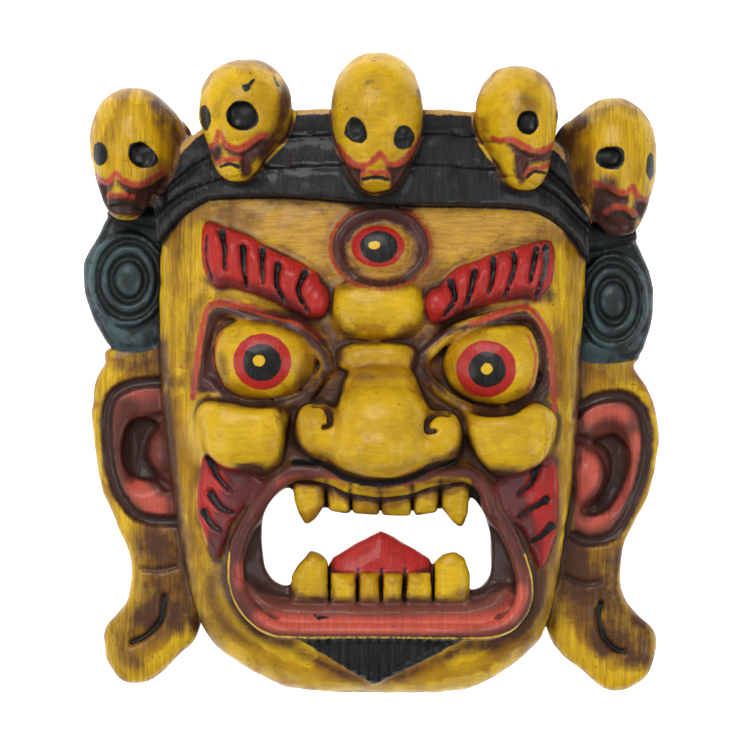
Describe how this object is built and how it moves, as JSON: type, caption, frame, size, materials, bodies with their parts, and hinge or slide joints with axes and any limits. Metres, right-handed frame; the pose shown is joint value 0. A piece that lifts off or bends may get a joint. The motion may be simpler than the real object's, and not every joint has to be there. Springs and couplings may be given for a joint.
{
  "type": "carved wooden dance mask",
  "caption": "Hollow carved and painted wooden mask of a wrathful three-eyed guardian with open fanged mouth, long ears and a crown band of skulls.",
  "frame": {"origin": "middle of the underside of the mask's bounding box, on the plane of its flat back", "axes": "+Z out of the face, +Y towards the top of the head, +X to the right of the face as seen from the front. The mask lies on its back."},
  "size_m": [0.2908, 0.3202, 0.1],
  "materials": {
    "painted_wood": "satin varnish over hand-painted colours"
  },
  "bodies": {
    "root": {"mask": "painted_wood"}
  },
  "joints": []
}
